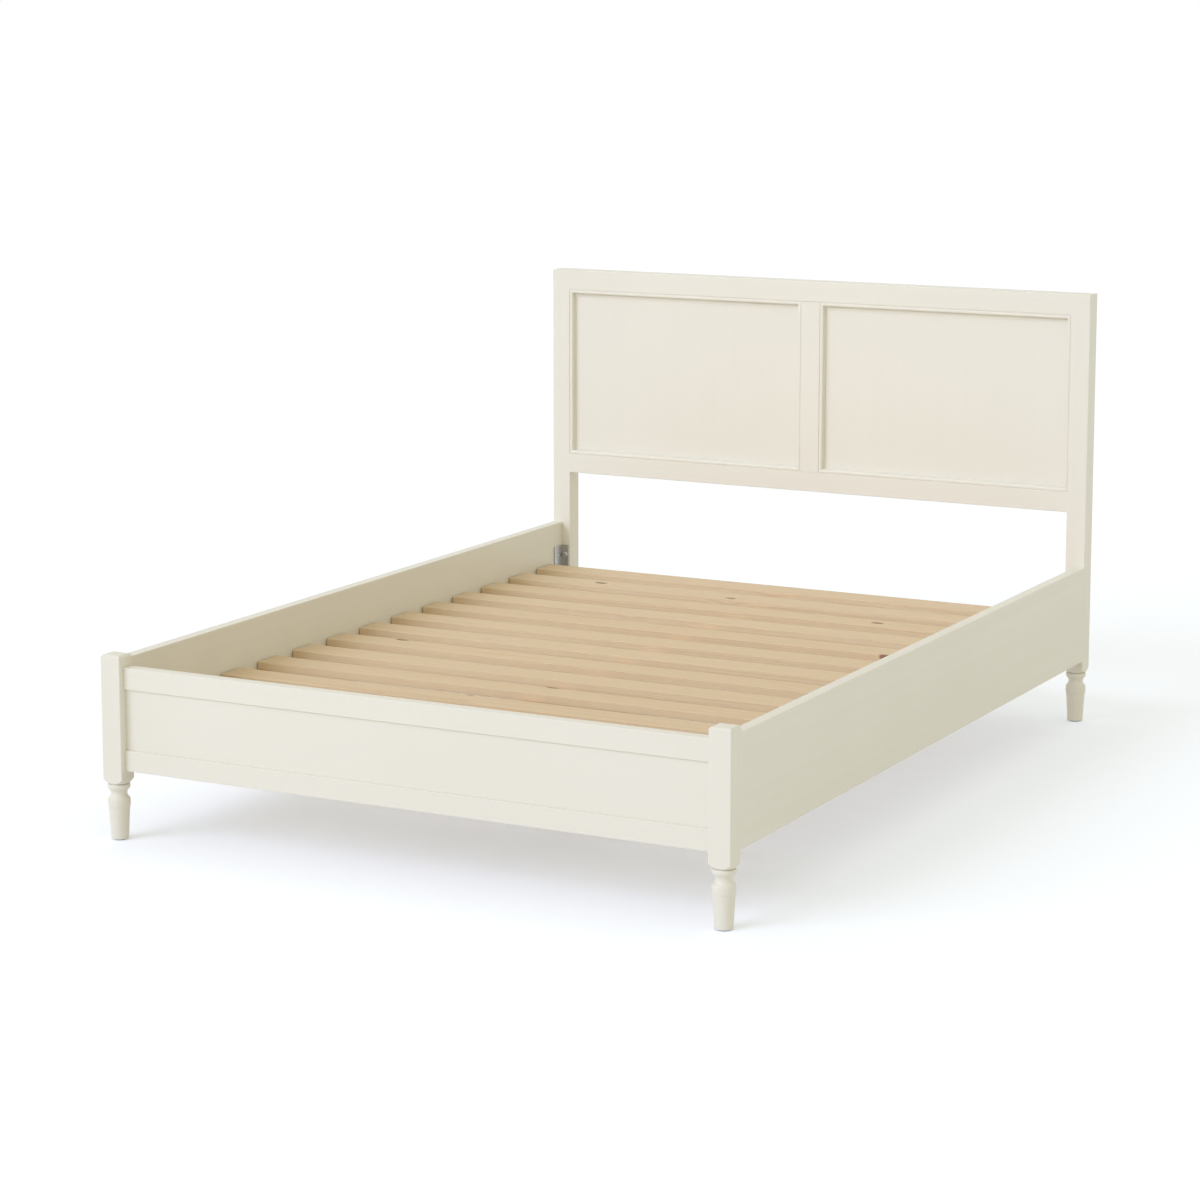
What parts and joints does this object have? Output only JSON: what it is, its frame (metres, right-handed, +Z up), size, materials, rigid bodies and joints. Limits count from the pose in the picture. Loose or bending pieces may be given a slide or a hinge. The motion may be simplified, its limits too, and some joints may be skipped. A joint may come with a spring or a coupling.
{
  "type": "bed frame",
  "caption": "Cream-painted wooden double bed frame: panelled headboard, low panelled foot end, deep side rails, slatted base and turned feet.",
  "frame": {"origin": "on the floor, under the middle of the bed's overall box", "axes": "+X across the bed, to the right for someone at the foot end facing the headboard; +Y from the foot end to the headboard; +Z up"},
  "size_m": [1.442, 2.0043, 1.032],
  "materials": {
    "cream_paint": "solid wood under brushed satin paint in a warm off-white",
    "bare_pine": "planed softwood, unfinished",
    "beech": "fluted beech dowels, unfinished",
    "zinc_steel": "bright zinc-plated steel",
    "dark_nylon": "matt moulded nylon"
  },
  "bodies": {
    "frame": {"back_left_bracket": "zinc_steel", "back_left_foot": "cream_paint", "back_right_bracket": "zinc_steel", "back_right_foot": "cream_paint", "beam_hanger_foot": "zinc_steel", "beam_hanger_head": "zinc_steel", "bracket_bolts": "zinc_steel", "bracket_screws": "zinc_steel", "centre_beam": "bare_pine", "centre_leg": "bare_pine", "foot_bottom_rail": "cream_paint", "foot_glides": "dark_nylon", "foot_panel": "cream_paint", "foot_post_left": "cream_paint", "foot_post_right": "cream_paint", "foot_top_rail": "cream_paint", "frame_dowels": "beech", "front_left_bracket": "zinc_steel", "front_left_foot": "cream_paint", "front_right_bracket": "zinc_steel", "front_right_foot": "cream_paint", "hanger_bolts": "zinc_steel", "headboard_bottom_rail": "cream_paint", "headboard_lower_rail": "cream_paint", "headboard_muntin": "cream_paint", "headboard_panel_left": "cream_paint", "headboard_panel_right": "cream_paint", "headboard_post_left": "cream_paint", "headboard_post_right": "cream_paint", "headboard_top_rail": "cream_paint", "moulding_left_panel_bottom": "cream_paint", "moulding_left_panel_left": "cream_paint", "moulding_left_panel_right": "cream_paint", "moulding_left_panel_top": "cream_paint", "moulding_right_panel_bottom": "cream_paint", "moulding_right_panel_left": "cream_paint", "moulding_right_panel_right": "cream_paint", "moulding_right_panel_top": "cream_paint", "side_rail_left": "cream_paint", "side_rail_right": "cream_paint", "slat_01": "bare_pine", "slat_02": "bare_pine", "slat_03": "bare_pine", "slat_04": "bare_pine", "slat_05": "bare_pine", "slat_06": "bare_pine", "slat_07": "bare_pine", "slat_08": "bare_pine", "slat_09": "bare_pine", "slat_10": "bare_pine", "slat_11": "bare_pine", "slat_12": "bare_pine", "slat_13": "bare_pine", "slat_ledger_left": "bare_pine", "slat_ledger_right": "bare_pine", "threaded_inserts": "zinc_steel", "wood_screws": "zinc_steel"},
    "levelling_pad": {"leveller_pad": "dark_nylon"},
    "levelling_stud": {"leveller_stud": "zinc_steel"}
  },
  "joints": [
    {"name": "leveller_travel", "type": "slide", "parent": "frame", "child": "levelling_pad", "axis": [0, 0, -1], "range_m": [-0.012, 0.012]},
    {"name": "leveller_turn", "type": "hinge", "parent": "levelling_pad", "child": "levelling_stud", "pos_m": [0, 0, 0.03], "axis": [0, 0, -1], "range_deg": [-3456, 3456]}
  ],
  "couplings": [
    {"joint": "leveller_turn", "follows": "leveller_travel", "rad_per_m": 5026.5}
  ]
}
